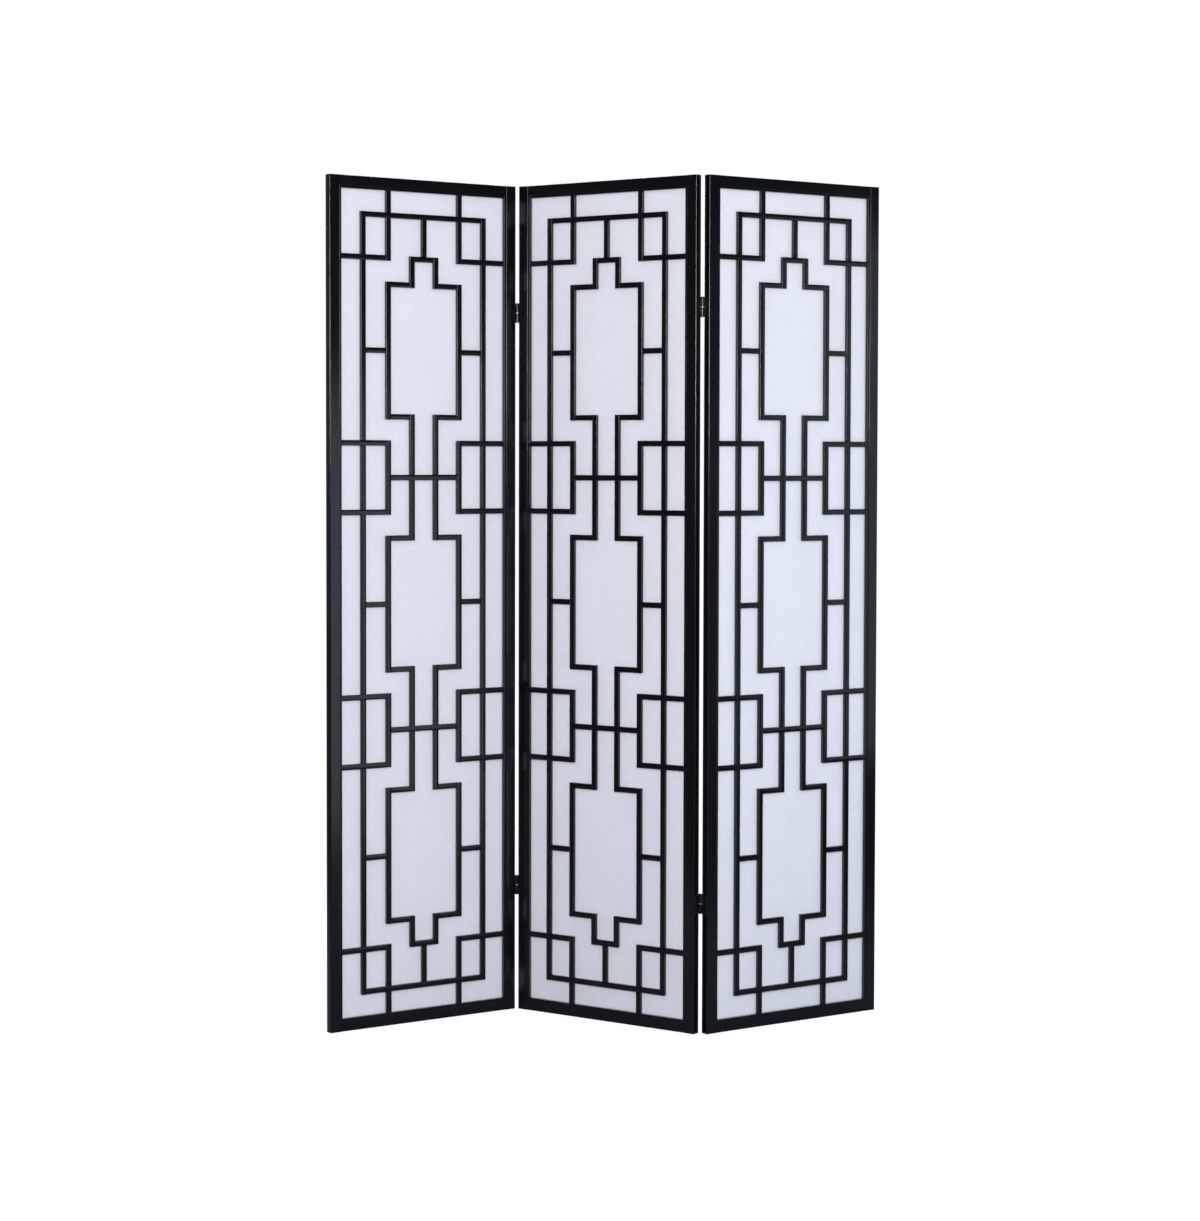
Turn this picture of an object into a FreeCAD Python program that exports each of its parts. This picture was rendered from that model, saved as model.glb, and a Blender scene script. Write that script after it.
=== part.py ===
import FreeCAD, Part
import os
import Sketcher

# Three-panel folding screen: lacquered frames, a sheet of rice paper in each, fretwork on both faces of the
# paper, and lift-off hinges. Millimetres, +Z up. The origin lies on the floor under the middle of the centre
# panel, +X runs along the screen to the right and -Y is the front.
#
# Inside a panel, x is measured from the panel's middle, y from the middle of its depth, z from the floor.

SIZES = {
    # overall panel and how far each one is turned out of line when the screen stands
    "panel_height": 1784.0,
    "panel_width": 447.6,
    "panel_depth": 19.0,
    "panel_turn_degrees": 33.0,
    # frame
    "stile_width": 23.8,
    "rail_height": 22.0,
    "frame_round": 1.2,
    "outer_round": 2.0,
    "dowel_diameter": 6.0,
    "dowel_length": 36.0,
    "dowel_cover": 6.5,
    "dowel_inset": 6.0,
    "hole_end_room": 0.5,
    "fit_clearance": 0.05,
    # paper, the beads that clamp it and the lattice strips on each face
    "paper_thickness": 0.4,
    "bead_width": 4.5,
    "lattice_depth": 8.0,
    "bar_width": 11.3,
    "cut_overrun": 1.0,
    # lattice layout between strip centre lines; the border is measured from the frame's opening, the caps
    # from the panel's ends
    "border_inset": 55.6,
    "neck_span": 56.8,
    "shoulder_length": 56.75,
    "cap_drop": 166.8,
    "stem_length": 54.7,
    "neck_length": 255.0,
    "bracket_gap": 55.0,
    # hinges: the pin stands in the gap between two stiles, just proud of the faces that fold together
    "axis_stand": 0.5,
    "hinge_offset": 271.5,
    "hinge_height": 42.0,
    "pin_diameter": 3.5,
    "pin_overhang": 1.2,
    "pin_round_share": 0.36,
    "barrel_wall": 1.1,
    "barrel_room": 0.3,
    "washer_rim": 1.0,
    "washer_thickness": 1.6,
    "leaf_thickness": 1.6,
    "leaf_inset": 1.0,
    "screw_spacing": 26.0,
    "screw_land": 0.3,
    "screw_shank_diameter": 3.0,
    "screw_length": 15.0,
    "screw_tip_length": 3.0,
    "screw_tip_diameter": 0.8,
    "screw_slot_width": 0.8,
    "screw_slot_depth": 0.6,
}

SIDES = (-1, 1)
ENDS = (-1, 1)
PARALLEL_SHARE = 0.001
UP = FreeCAD.Vector(0, 0, 1)
NO_TURN = FreeCAD.Rotation()
HALF_TURN_X = FreeCAD.Rotation(FreeCAD.Vector(1, 0, 0), 180)
HALF_TURN_Y = FreeCAD.Rotation(FreeCAD.Vector(0, 1, 0), 180)
HALF_TURN_Z = FreeCAD.Rotation(UP, 180)
Z_TO_X = FreeCAD.Rotation(FreeCAD.Vector(0, 1, 0), 90)

doc = FreeCAD.newDocument("folding_screen")
nodes = []


def make_sheet():
    """Spreadsheet with one named cell for each driving size."""
    table = doc.addObject("Spreadsheet::Sheet", "Sizes")
    for row, (alias, value) in enumerate(SIZES.items(), start=1):
        table.set(f"A{row}", alias)
        table.set(f"B{row}", str(value))
        table.setAlias(f"B{row}", alias)
    doc.recompute()
    return table


sheet = make_sheet()


def cell(alias):
    """Expression that reads one size from the sheet."""
    return f"Sizes.{alias}"


def size(alias):
    """Value of one size, read from the sheet."""
    return float(sheet.get(alias))


def value_of(expression):
    """Number that an expression on the sheet gives now."""
    return float(sheet.evalExpression(str(expression)))


def signed(side, expression):
    """An expression mirrored to one side of the middle."""
    return f"{side} * ({expression})"


def outward_span(side, inner, outer):
    """Both ends of a stretch on one side of the middle, the lesser end first."""
    return [signed(side, end) for end in (inner, outer)[::side]]


def bind(thing, **expressions):
    """Bind properties to expressions; at_x, at_y and at_z set its place."""
    for name, expression in expressions.items():
        path = f"Placement.Base.{name[-1]}" if name.startswith("at_") else name
        thing.setExpression(path, str(expression))
    return thing


def add_node(thing, label, placement=None):
    """Register a finished sub-part under the name of its file."""
    thing.Label = label
    if placement is not None:
        thing.Placement = placement
    nodes.append(thing)
    return thing


def placed(name, pieces, placement=None):
    """A group of pieces, set down together at one place."""
    group = doc.addObject("Part::Compound", name)
    group.Links = pieces
    if placement is not None:
        group.Placement = placement
    return group


# Sketches and features of the turned and milled pieces


def origin_plane(body, role):
    """One of a body's own origin planes."""
    return next(plane for plane in body.Origin.OriginFeatures if plane.Role == role)


def make_sketch(body, name, role, lift="0"):
    """Sketch on an origin plane of its body, lifted along the plane's normal."""
    sketch = body.newObject("Sketcher::SketchObject", name)
    sketch.AttachmentSupport = [(origin_plane(body, role), "")]
    sketch.MapMode = "FlatFace"
    sketch.setExpression("AttachmentOffset.Base.z", lift)
    doc.recompute()
    return sketch


def hold(sketch, constraint, expression):
    """Add a dimension to a sketch and tie it to the sheet."""
    index = sketch.addConstraint(constraint)
    sketch.setExpression(f"Constraints[{index}]", str(expression))


def draw_rectangle(sketch, left, right, low, high):
    """Rectangle between four bound sides, measured from the sketch's origin."""
    x0, x1 = value_of(left), value_of(right)
    y0, y1 = value_of(low), value_of(high)
    corners = [FreeCAD.Vector(x, y, 0) for x, y in ((x0, y0), (x1, y0), (x1, y1), (x0, y1))]
    first = sketch.GeometryCount
    for start, end in zip(corners, corners[1:] + corners[:1]):
        sketch.addGeometry(Part.LineSegment(start, end), False)
    for step in range(4):
        sketch.addConstraint(Sketcher.Constraint("Coincident", first + step, 2, first + (step + 1) % 4, 1))
        kind = "Horizontal" if step % 2 == 0 else "Vertical"
        sketch.addConstraint(Sketcher.Constraint(kind, first + step))
    hold(sketch, Sketcher.Constraint("DistanceX", -1, 1, first, 1, x0), left)
    hold(sketch, Sketcher.Constraint("DistanceX", -1, 1, first + 1, 2, x1), right)
    hold(sketch, Sketcher.Constraint("DistanceY", -1, 1, first, 1, y0), low)
    hold(sketch, Sketcher.Constraint("DistanceY", -1, 1, first + 1, 2, y1), high)


def draw_circle(sketch, across, up, radius):
    """Circle with a bound radius, its middle measured from the sketch's origin."""
    middle = FreeCAD.Vector(value_of(across), value_of(up), 0)
    index = sketch.addGeometry(Part.Circle(middle, UP, value_of(radius)), False)
    hold(sketch, Sketcher.Constraint("DistanceX", -1, 1, index, 3, middle.x), across)
    hold(sketch, Sketcher.Constraint("DistanceY", -1, 1, index, 3, middle.y), up)
    hold(sketch, Sketcher.Constraint("Radius", index, value_of(radius)), radius)


def pad(body, sketch, length):
    """Extrude a sketch along its normal."""
    feature = body.newObject("PartDesign::Pad", f"{sketch.Name}_pad")
    feature.Profile = sketch
    feature.setExpression("Length", length)
    doc.recompute()
    return feature


def pocket(body, sketch, depth, along_normal=False):
    """Cut a sketch into its body, and make sure that it cut something."""
    before = body.Shape.Volume
    feature = body.newObject("PartDesign::Pocket", f"{sketch.Name}_pocket")
    feature.Profile = sketch
    feature.Reversed = along_normal
    feature.setExpression("Length", depth)
    doc.recompute()
    if not body.Shape.Volume < before:
        raise RuntimeError(f"{feature.Name} cut nothing")
    return feature


def round_edges(body, base, chosen, radius):
    """Round those edges of a feature that the chosen test picks."""
    names = [f"Edge{i}" for i, edge in enumerate(base.Shape.Edges, start=1) if chosen(edge)]
    feature = body.newObject("PartDesign::Fillet", f"{base.Name}_round")
    feature.Base = (base, names)
    feature.setExpression("Radius", radius)
    doc.recompute()
    return feature


def runs_along(direction):
    """Test for straight edges parallel to a direction."""
    def test(edge):
        start, end = (vertex.Point for vertex in edge.Vertexes)
        return (end - start).cross(direction).Length < edge.Length * PARALLEL_SHARE
    return test


# Derived places that several pieces share

HALF_WIDTH = f"{cell('panel_width')} / 2"
HALF_HEIGHT = f"{cell('panel_height')} / 2"
HALF_DEPTH = f"{cell('panel_depth')} / 2"
HALF_BAR = f"{cell('bar_width')} / 2"
OVERRUN = cell("cut_overrun")
FRAME_OPEN_X = f"{HALF_WIDTH} - {cell('stile_width')}"
LATTICE_OPEN_X = f"{FRAME_OPEN_X} - {cell('bead_width')}"
LATTICE_OPEN_Z = f"{HALF_HEIGHT} - {cell('rail_height')} - {cell('bead_width')}"
LATTICE_BACK = f"-{cell('paper_thickness')} / 2"
LATTICE_FRONT = f"{LATTICE_BACK} - {cell('lattice_depth')}"
LATTICE_MIDDLE = f"{LATTICE_FRONT} + {cell('lattice_depth')} / 2"
RAIL_LENGTH = f"2 * ({FRAME_OPEN_X})"
RAIL_DOWELS = [cell("dowel_inset"), f"{cell('rail_height')} - {cell('dowel_inset')}"]
STILE_DOWELS = RAIL_DOWELS + [f"{cell('panel_height')} - ({height})" for height in RAIL_DOWELS]
DOWEL_HOLE = f"{cell('dowel_diameter')} / 2 + {cell('fit_clearance')}"
STILE_HOLE_DEPTH = f"({cell('stile_width')} - {cell('dowel_cover')})"
DOWEL_SEAT = f"({STILE_HOLE_DEPTH} - {cell('hole_end_room')})"
PIN_RADIUS = f"{cell('pin_diameter')} / 2"
PIN_HOLE = f"{PIN_RADIUS} + {cell('fit_clearance')}"
BARREL_RADIUS = f"{PIN_HOLE} + {cell('barrel_wall')}"
HALF_HINGE = f"{cell('hinge_height')} / 2"
HALF_WASHER = f"{cell('washer_thickness')} / 2"
HALF_GAP = f"{BARREL_RADIUS} + {cell('barrel_room')}"
LEAF_FACE = f"{HALF_GAP} - {cell('leaf_thickness')}"
# past the washer a leaf starts this far behind the axis, which keeps the barrel room from the other barrel
LEAF_START = f"sqrt(({HALF_GAP})^2 - ({LEAF_FACE})^2)"
SHANK_RADIUS = f"{cell('screw_shank_diameter')} / 2"
SHANK_HOLE = f"{SHANK_RADIUS} + {cell('fit_clearance')}"
HEAD_DEPTH = f"({cell('leaf_thickness')} - {cell('screw_land')})"
HEAD_RADIUS = f"{SHANK_RADIUS} + {HEAD_DEPTH}"
# the hinge axis lies this far from the panel's mid depth, where the screws stand in a column
AXIS_DEPTH = f"{HALF_DEPTH} + {cell('axis_stand')}"
PILOT_DEPTH = f"{cell('screw_length')} - {cell('leaf_thickness')} + {cell('hole_end_room')}"

# Centre lines of the lattice: uprights by their distance from the panel's middle, levels by their height
# above it. The three medallions share what the caps, stems and necks leave of the height.
BORDER_X = f"{FRAME_OPEN_X} - {cell('border_inset')}"
NECK_X = f"{cell('neck_span')} / 2"
MEDALLION_X = f"{NECK_X} + {cell('shoulder_length')}"
BORDER_Z = f"{HALF_HEIGHT} - {cell('rail_height')} - {cell('border_inset')}"
CAP_Z = f"{HALF_HEIGHT} - {cell('cap_drop')}"
TOP_SHOULDER_Z = f"{CAP_Z} - {cell('stem_length')}"
MEDALLION_HEIGHT = f"(2 * ({TOP_SHOULDER_Z} - {cell('neck_length')}) / 3)"
TIE_Z = f"{TOP_SHOULDER_Z} - {MEDALLION_HEIGHT} / 2"
LOW_SHOULDER_Z = f"{TOP_SHOULDER_Z} - {MEDALLION_HEIGHT}"
MIDDLE_SHOULDER_Z = f"{MEDALLION_HEIGHT} / 2"
CROSSBAR_Z = f"({LOW_SHOULDER_Z} + {MIDDLE_SHOULDER_Z}) / 2"
BRACKET_TOP_Z = f"{LOW_SHOULDER_Z} - {cell('bracket_gap')}"
BRACKET_LOW_Z = f"{MIDDLE_SHOULDER_Z} + {cell('bracket_gap')}"


# Frame


def upright_edges(outer):
    """Test for the upright edges on a stile's outer side, or on its inner side."""
    upright, middle = runs_along(UP), size("stile_width") / 2
    return lambda edge: upright(edge) and (edge.CenterOfMass.x > middle) == outer


def make_stile(name, hinged):
    """Upright of a frame, its inner face at x = 0; a hinged one has pilot holes for two leaves."""
    body = doc.addObject("PartDesign::Body", name)
    section = make_sketch(body, f"{name}_section", "XY_Plane")
    draw_rectangle(section, "0", cell("stile_width"), f"-{HALF_DEPTH}", HALF_DEPTH)
    post = pad(body, section, cell("panel_height"))
    eased = round_edges(body, post, upright_edges(outer=False), cell("frame_round"))
    round_edges(body, eased, upright_edges(outer=True), cell("outer_round"))
    dowels = make_sketch(body, f"{name}_dowel_holes", "YZ_Plane")
    for height in STILE_DOWELS:
        draw_circle(dowels, "0", height, DOWEL_HOLE)
    pocket(body, dowels, STILE_HOLE_DEPTH, along_normal=True)
    if hinged:
        pilots = make_sketch(body, f"{name}_pilot_holes", "YZ_Plane", cell("stile_width"))
        for hinge_middle in (cell("hinge_offset"), f"{cell('panel_height')} - {cell('hinge_offset')}"):
            for side in SIDES:
                height = f"{hinge_middle} + {side} * {cell('screw_spacing')} / 2"
                draw_circle(pilots, "0", height, SHANK_HOLE)
        pocket(body, pilots, PILOT_DEPTH)
    return body


def make_rail(name):
    """Level piece of a frame, centred between the stiles, its underside at z = 0."""
    body = doc.addObject("PartDesign::Body", name)
    section = make_sketch(body, f"{name}_section", "YZ_Plane", f"-({FRAME_OPEN_X})")
    draw_rectangle(section, f"-{HALF_DEPTH}", HALF_DEPTH, "0", cell("rail_height"))
    beam = pad(body, section, RAIL_LENGTH)
    round_edges(body, beam, runs_along(FreeCAD.Vector(1, 0, 0)), cell("frame_round"))
    dowels = make_sketch(body, f"{name}_dowel_holes", "YZ_Plane", FRAME_OPEN_X)
    for height in RAIL_DOWELS:
        draw_circle(dowels, "0", height, DOWEL_HOLE)
    depth = f"{cell('dowel_length')} - {DOWEL_SEAT} + {cell('hole_end_room')}"
    right_holes = pocket(body, dowels, depth)
    both = body.newObject("PartDesign::Mirrored", f"{name}_both_ends")
    both.Originals = [right_holes]
    both.MirrorPlane = (origin_plane(body, "YZ_Plane"), [""])
    body.Tip = both
    doc.recompute()
    return body


def make_dowels():
    """The dowels of one frame, two at each end of each rail."""
    pieces = []
    for side in SIDES:
        outer = f"{FRAME_OPEN_X} + {DOWEL_SEAT}"
        start = outer if side < 0 else f"{outer} - {cell('dowel_length')}"
        for height in STILE_DOWELS:
            dowel = doc.addObject("Part::Cylinder", "dowel")
            bind(dowel, Radius=f"{cell('dowel_diameter')} / 2", Height=cell("dowel_length"))
            dowel.Placement.Rotation = Z_TO_X
            bind(dowel, at_x=signed(side, start), at_z=height)
            pieces.append(dowel)
    return pieces


def make_box(name, low, high):
    """Block between two corners, each given as three expressions."""
    box = doc.addObject("Part::Box", name)
    lengths = [f"({top}) - ({bottom})" for bottom, top in zip(low, high)]
    bind(box, Length=lengths[0], Width=lengths[1], Height=lengths[2])
    return bind(box, at_x=low[0], at_y=low[1], at_z=low[2])


def make_paper():
    """Sheet that fills a frame's opening between the beads of the two faces."""
    half_sheet = f"{cell('paper_thickness')} / 2"
    low = (f"-({FRAME_OPEN_X})", f"-{half_sheet}", cell("rail_height"))
    high = (FRAME_OPEN_X, half_sheet, f"{cell('panel_height')} - {cell('rail_height')}")
    return make_box("paper_sheet", low, high)


def make_beads():
    """Slim strips round the opening of one face, which clamp the paper's edges."""
    pieces = []
    for side in SIDES:
        left, right = outward_span(side, LATTICE_OPEN_X, FRAME_OPEN_X)
        low = (left, LATTICE_FRONT, cell("rail_height"))
        high = (right, LATTICE_BACK, f"{cell('panel_height')} - {cell('rail_height')}")
        pieces.append(make_box("upright_bead", low, high))
    for start in (cell("rail_height"), f"{HALF_HEIGHT} + {LATTICE_OPEN_Z}"):
        low = (f"-({LATTICE_OPEN_X})", LATTICE_FRONT, start)
        high = (LATTICE_OPEN_X, LATTICE_BACK, f"{start} + {cell('bead_width')}")
        pieces.append(make_box("level_bead", low, high))
    return pieces


# Lattice


def cut_laps(strip, notches):
    """Take the half-depth notches out of a strip."""
    return cut(f"{strip.Name}_lapped", strip, placed(f"{strip.Name}_notches", notches))


def upright_strip(line, start, end, crossings=()):
    """Vertical strip on one centre line; where a level strip crosses, its front half is notched."""
    floor_start, floor_end = (f"{HALF_HEIGHT} + {height}" for height in (start, end))
    left, right = f"{line} - {HALF_BAR}", f"{line} + {HALF_BAR}"
    strip = make_box("upright_strip", (left, LATTICE_FRONT, floor_start), (right, LATTICE_BACK, floor_end))
    if not crossings:
        return strip
    notches = []
    for crossing in crossings:
        middle = f"{HALF_HEIGHT} + {crossing}"
        low = (f"{left} - {OVERRUN}", f"{LATTICE_FRONT} - {OVERRUN}", f"{middle} - {HALF_BAR}")
        high = (f"{right} + {OVERRUN}", LATTICE_MIDDLE, f"{middle} + {HALF_BAR}")
        notches.append(make_box("notch", low, high))
    return cut_laps(strip, notches)


def level_strip(line, start, end, crossings=()):
    """Horizontal strip on one centre line; where an upright crosses, its back half is notched."""
    middle = f"{HALF_HEIGHT} + {line}"
    under, over = f"{middle} - {HALF_BAR}", f"{middle} + {HALF_BAR}"
    strip = make_box("level_strip", (start, LATTICE_FRONT, under), (end, LATTICE_BACK, over))
    if not crossings:
        return strip
    notches = []
    for crossing in crossings:
        low = (f"{crossing} - {HALF_BAR}", LATTICE_MIDDLE, f"{under} - {OVERRUN}")
        high = (f"{crossing} + {HALF_BAR}", f"{LATTICE_BACK} + {OVERRUN}", f"{over} + {OVERRUN}")
        notches.append(make_box("notch", low, high))
    return cut_laps(strip, notches)


def make_border_lattice():
    """Inner border, corner squares and the short stubs that hold the caps."""
    pieces = []
    crossing_levels = [signed(end, level) for end in ENDS for level in (CAP_Z, BRACKET_TOP_Z, BRACKET_LOW_Z)]
    border_top = f"{BORDER_Z} + {HALF_BAR}"
    border_side = f"{BORDER_X} - {HALF_BAR}"
    square_side = f"{MEDALLION_X} + {HALF_BAR}"
    for side in SIDES:
        pieces.append(upright_strip(signed(side, BORDER_X), f"-({border_top})", border_top, crossing_levels))
    for end in ENDS:
        crossing_uprights = [signed(side, MEDALLION_X) for side in SIDES]
        pieces.append(level_strip(signed(end, BORDER_Z), f"-({border_side})", border_side, crossing_uprights))
        stub = outward_span(end, f"{CAP_Z} + {HALF_BAR}", f"{BORDER_Z} - {HALF_BAR}")
        pieces.append(upright_strip("0", *stub))
        for side in SIDES:
            square = outward_span(side, square_side, LATTICE_OPEN_X)
            pieces.append(level_strip(signed(end, CAP_Z), *square, [signed(side, BORDER_X)]))
            post = outward_span(end, f"{CAP_Z} - {HALF_BAR}", LATTICE_OPEN_Z)
            pieces.append(upright_strip(signed(side, MEDALLION_X), *post, [signed(end, BORDER_Z)]))
    return pieces


def make_medallion_lattice():
    """Chain of stepped medallions: caps, stems, shoulders, sides and the necks between them."""
    pieces = []
    cap_side = f"{NECK_X} - {HALF_BAR}"
    shoulder_inner, shoulder_outer = f"{NECK_X} + {HALF_BAR}", f"{MEDALLION_X} - {HALF_BAR}"
    middle_top = f"{MIDDLE_SHOULDER_Z} + {HALF_BAR}"
    for side in SIDES:
        pieces.append(upright_strip(signed(side, MEDALLION_X), f"-({middle_top})", middle_top))
    for end in ENDS:
        pieces.append(level_strip(signed(end, CAP_Z), f"-({cap_side})", cap_side))
        for side in SIDES:
            stem = outward_span(end, f"{TOP_SHOULDER_Z} - {HALF_BAR}", f"{CAP_Z} + {HALF_BAR}")
            pieces.append(upright_strip(signed(side, NECK_X), *stem))
            flank = outward_span(end, f"{LOW_SHOULDER_Z} - {HALF_BAR}", f"{TOP_SHOULDER_Z} + {HALF_BAR}")
            pieces.append(upright_strip(signed(side, MEDALLION_X), *flank))
            neck = outward_span(end, f"{MIDDLE_SHOULDER_Z} - {HALF_BAR}", f"{LOW_SHOULDER_Z} + {HALF_BAR}")
            pieces.append(upright_strip(signed(side, NECK_X), *neck, [signed(end, CROSSBAR_Z)]))
            for level in (TOP_SHOULDER_Z, LOW_SHOULDER_Z, MIDDLE_SHOULDER_Z):
                shoulder = outward_span(side, shoulder_inner, shoulder_outer)
                pieces.append(level_strip(signed(end, level), *shoulder))
    return pieces


def make_bracket_lattice():
    """Side brackets beside the necks, the cross bars between them and the ties to the border."""
    pieces = []
    bar_side = f"{MEDALLION_X} - {HALF_BAR}"
    outer_start = f"{MEDALLION_X} + {HALF_BAR}"
    for side in SIDES:
        tie = outward_span(side, outer_start, f"{BORDER_X} - {HALF_BAR}")
        pieces.extend(level_strip(level, *tie) for level in ("0", signed(1, TIE_Z), signed(-1, TIE_Z)))
    for end in ENDS:
        necks = [signed(side, NECK_X) for side in SIDES]
        pieces.append(level_strip(signed(end, CROSSBAR_Z), f"-({bar_side})", bar_side, necks))
        for side in SIDES:
            post = outward_span(end, f"{BRACKET_LOW_Z} - {HALF_BAR}", f"{BRACKET_TOP_Z} + {HALF_BAR}")
            pieces.append(upright_strip(signed(side, MEDALLION_X), *post))
            for level in (BRACKET_TOP_Z, BRACKET_LOW_Z):
                arm = outward_span(side, outer_start, LATTICE_OPEN_X)
                pieces.append(level_strip(signed(end, level), *arm, [signed(side, BORDER_X)]))
    return pieces


# Hinge hardware


def make_cylinder(name, radius, height, start):
    """Upright cylinder round its own axis, its foot at a bound height."""
    cylinder = doc.addObject("Part::Cylinder", name)
    return bind(cylinder, Radius=radius, Height=height, at_z=start)


def fuse(name, pieces):
    """Join overlapping shapes into one."""
    joined = doc.addObject("Part::MultiFuse", name)
    joined.Shapes = pieces
    joined.Refine = True
    return joined


def cut(name, base, tool):
    """Take one shape out of another."""
    result = doc.addObject("Part::Cut", name)
    result.Base = base
    result.Tool = tool
    return result


def make_flag():
    """Upper half of a hinge: a barrel above its middle and a leaf on the stile's edge, on the +X side."""
    barrel_length = f"{HALF_HINGE} - {HALF_WASHER}"
    barrel = make_cylinder("flag_barrel", BARREL_RADIUS, barrel_length, HALF_WASHER)
    leaf_end = f"{cell('axis_stand')} + {cell('panel_depth')} - {cell('leaf_inset')}"
    corner = (HALF_GAP, leaf_end, HALF_HINGE)
    neck = make_box("flag_neck", (LEAF_FACE, "0", HALF_WASHER), corner)
    leaf = make_box("flag_leaf", (LEAF_FACE, LEAF_START, f"-{HALF_HINGE}"), corner)
    bore_length = f"{barrel_length} + 2 * {OVERRUN}"
    bore = make_cylinder("flag_bore", PIN_HOLE, bore_length, f"{HALF_WASHER} - {OVERRUN}")
    tools = [bore]
    for side in SIDES:
        height = f"{side} * {cell('screw_spacing')} / 2"
        through = doc.addObject("Part::Cylinder", "flag_screw_hole")
        bind(through, Radius=SHANK_HOLE, Height=f"{cell('leaf_thickness')} + {OVERRUN}")
        sink = doc.addObject("Part::Cone", "flag_countersink")
        bind(sink, Radius1=f"{HEAD_RADIUS} + {cell('fit_clearance')}", Radius2=SHANK_HOLE, Height=HEAD_DEPTH)
        for tool in (through, sink):
            tool.Placement.Rotation = Z_TO_X
            bind(tool, at_x=LEAF_FACE, at_y=AXIS_DEPTH, at_z=height)
            tools.append(tool)
    return cut("hinge_flag", fuse("flag_blank", [barrel, neck, leaf]), fuse("flag_holes", tools))


def make_pin():
    """Pin through both barrels, with rounded ends that stand out of them."""
    body = doc.addObject("PartDesign::Body", "hinge_pin")
    foot = f"-({HALF_HINGE} + {cell('pin_overhang')})"
    section = make_sketch(body, "pin_section", "XY_Plane", foot)
    draw_circle(section, "0", "0", PIN_RADIUS)
    shaft = pad(body, section, f"{cell('hinge_height')} + 2 * {cell('pin_overhang')}")
    end_round = f"{cell('pin_diameter')} * {cell('pin_round_share')}"
    round_edges(body, shaft, lambda edge: len(edge.Vertexes) == 1, end_round)
    return body


def make_washer():
    """Washer between the two barrels, round the pin."""
    body = doc.addObject("PartDesign::Body", "hinge_washer")
    section = make_sketch(body, "washer_section", "XY_Plane", f"-{HALF_WASHER}")
    draw_circle(section, "0", "0", f"{PIN_HOLE} + {cell('washer_rim')}")
    draw_circle(section, "0", "0", PIN_HOLE)
    pad(body, section, cell("washer_thickness"))
    return body


def make_screw():
    """Countersunk slotted screw, its head's face at z = 0 and its point towards +Z."""
    head = doc.addObject("Part::Cone", "screw_head")
    bind(head, Radius1=HEAD_RADIUS, Radius2=SHANK_RADIUS, Height=HEAD_DEPTH)
    shank_end = f"{cell('screw_length')} - {cell('screw_tip_length')}"
    shank = make_cylinder("screw_shank", SHANK_RADIUS, f"{shank_end} - {HEAD_DEPTH}", HEAD_DEPTH)
    tip = doc.addObject("Part::Cone", "screw_tip")
    bind(tip, Radius1=SHANK_RADIUS, Radius2=f"{cell('screw_tip_diameter')} / 2")
    bind(tip, Height=cell("screw_tip_length"), at_z=shank_end)
    half_slot = f"{cell('screw_slot_width')} / 2"
    reach = f"{HEAD_RADIUS} + {OVERRUN}"
    low = (f"-({reach})", f"-{half_slot}", f"-{OVERRUN}")
    slot = make_box("screw_slot", low, (reach, half_slot, cell("screw_slot_depth")))
    return cut("hinge_screw", fuse("screw_blank", [head, shank, tip]), slot)


# Assembly


def panel_places():
    """Places of the three panels and of the two hinge axes, all on the floor."""
    turn = FreeCAD.Rotation(UP, size("panel_turn_degrees"))
    axis_x = value_of(f"{HALF_WIDTH} + {HALF_GAP}")
    axis_y = value_of(AXIS_DEPTH)
    centre = FreeCAD.Placement(FreeCAD.Vector(), turn.inverted())
    left_axis = centre.multVec(FreeCAD.Vector(-axis_x, -axis_y, 0))
    right_axis = centre.multVec(FreeCAD.Vector(axis_x, axis_y, 0))
    left = FreeCAD.Placement(left_axis - turn.multVec(FreeCAD.Vector(axis_x, -axis_y, 0)), turn)
    right = FreeCAD.Placement(right_axis - turn.multVec(FreeCAD.Vector(-axis_x, axis_y, 0)), turn)
    return {"left": left, "centre": centre, "right": right}, {"left": left_axis, "right": right_axis}


def at(x=0.0, y=0.0, z=0.0, turn=NO_TURN):
    """Placement from a point and a turn."""
    return FreeCAD.Placement(FreeCAD.Vector(x, y, z), turn)


def build_panels(panels):
    """Frames, paper and lattice of the three panels."""
    outer_stiles = ("left_panel_left_stile", "right_panel_right_stile")
    dowels = make_dowels()
    paper = make_paper()
    face_groups = {
        "beads": make_beads(),
        "border_lattice": make_border_lattice(),
        "medallion_lattice": make_medallion_lattice(),
        "bracket_lattice": make_bracket_lattice(),
    }
    inner_face = value_of(FRAME_OPEN_X)
    top_rail_foot = size("panel_height") - size("rail_height")
    for panel, place in panels.items():
        for side, local in (("left", at(x=-inner_face, turn=HALF_TURN_Z)), ("right", at(x=inner_face))):
            name = f"{panel}_panel_{side}_stile"
            add_node(make_stile(name, name not in outer_stiles), name, place.multiply(local))
        for level, height in (("top", top_rail_foot), ("bottom", 0.0)):
            name = f"{panel}_panel_{level}_rail"
            add_node(make_rail(name), name, place.multiply(at(z=height)))
        add_node(placed("dowels", dowels, place), f"{panel}_panel_rail_dowels")
        add_node(placed("sheet", [paper], place), f"{panel}_panel_paper")
        for face, turn in (("front", NO_TURN), ("rear", HALF_TURN_Z)):
            for group, pieces in face_groups.items():
                name = f"{panel}_panel_{face}_{group}"
                add_node(placed(group, pieces, place.multiply(at(turn=turn))), name)


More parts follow.
